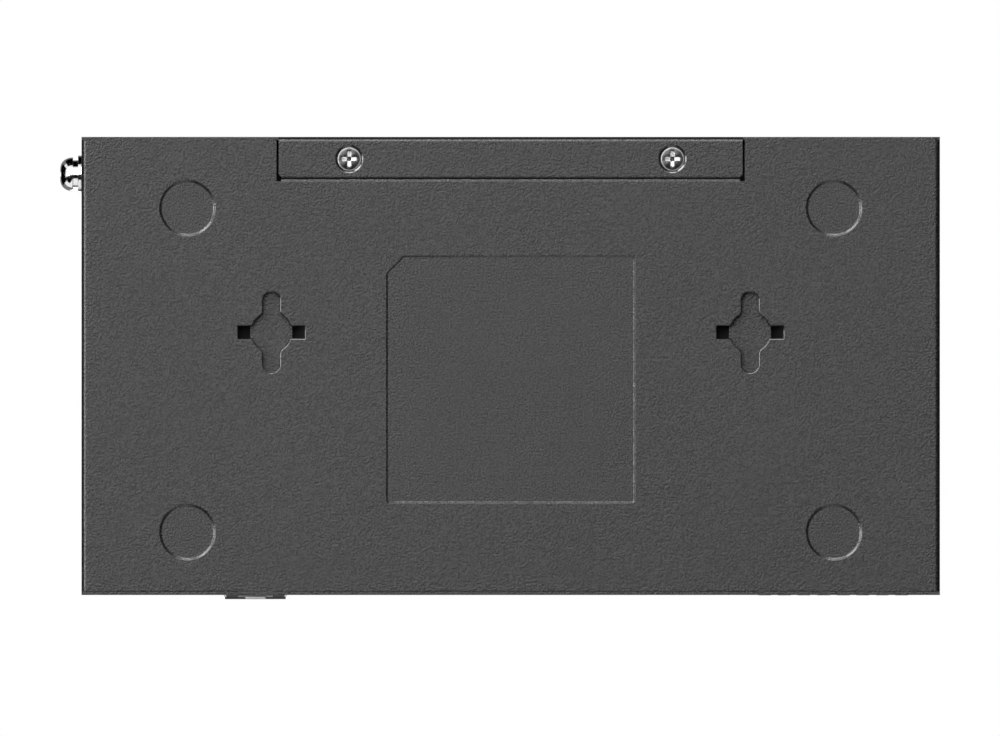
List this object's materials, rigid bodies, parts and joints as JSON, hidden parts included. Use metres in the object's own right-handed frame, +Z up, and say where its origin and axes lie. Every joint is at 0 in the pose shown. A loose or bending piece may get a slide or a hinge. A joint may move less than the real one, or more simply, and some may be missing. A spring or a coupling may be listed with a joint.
{
  "type": "ethernet router",
  "caption": "Low folded-steel desktop router with wall-hanging keyholes and foot recesses underneath, network sockets and a transceiver cage in front, and an earth screw at the side.",
  "frame": {"origin": "middle of the case's underside, on the plane that it rests on", "axes": "+X to the right as the front is seen, +Y to the rear, +Z up"},
  "size_m": [0.207, 0.1088, 0.028],
  "materials": {
    "case_paint": "fine powder coat, satin",
    "cover_screw_steel": "dark coated screw head",
    "terminal_plating": "bright nickel plating",
    "zinc_steel": "zinc plating",
    "tinned_steel": "bright tinned sheet",
    "spring_steel": "dark spring strip",
    "socket_plastic": "fine moulded texture",
    "contact_gold": "gold plating",
    "pin_steel": "bright nickel plating",
    "board_laminate": "black solder resist",
    "light_plastic": "clear to milky moulding",
    "led_lens": "yellow lens",
    "button_plastic": "moulded",
    "chip_plastic": "moulded epoxy",
    "sink_aluminium": "black anodised",
    "pad_rubber": "soft filled silicone",
    "inductor_ferrite": "pressed powder",
    "can_sleeve": "bright can",
    "crystal_can": "pressed can"
  },
  "bodies": {
    "chassis": {"base_tray": "case_paint", "top_cover": "case_paint", "keyhole_guard_left": "case_paint", "keyhole_guard_right": "case_paint", "cover_screws": "cover_screw_steel", "ground_screw": "terminal_plating", "ground_spring_washer": "terminal_plating", "ground_flat_washer": "terminal_plating", "ground_nut": "zinc_steel", "board_standoffs": "zinc_steel", "board_screws": "zinc_steel", "lan_shield": "tinned_steel", "wan_shield": "tinned_steel", "sfp_cage": "tinned_steel", "sfp_finger_band": "spring_steel", "lan_housing": "socket_plastic", "wan_housing": "socket_plastic", "sfp_connector": "socket_plastic", "power_jack": "socket_plastic", "reset_switch": "socket_plastic", "lan_contacts": "contact_gold", "wan_contacts": "contact_gold", "power_jack_spring": "contact_gold", "power_jack_pin": "pin_steel", "main_board": "board_laminate", "light_pipe": "light_plastic", "status_leds": "led_lens", "line_transformers": "chip_plastic", "router_chip": "chip_plastic", "switch_chip": "chip_plastic", "memory_chips": "chip_plastic", "flash_chip": "chip_plastic", "heat_sink": "sink_aluminium", "heat_sink_pad": "pad_rubber", "power_inductors": "inductor_ferrite", "capacitors": "can_sleeve", "crystal": "crystal_can"},
    "reset_plunger": {"reset_button": "button_plastic"}
  },
  "joints": [
    {"name": "reset_press", "type": "slide", "parent": "chassis", "child": "reset_plunger", "axis": [0, 1, 0], "range_m": [0, 0.00025], "stiffness_N_per_m": 800}
  ]
}
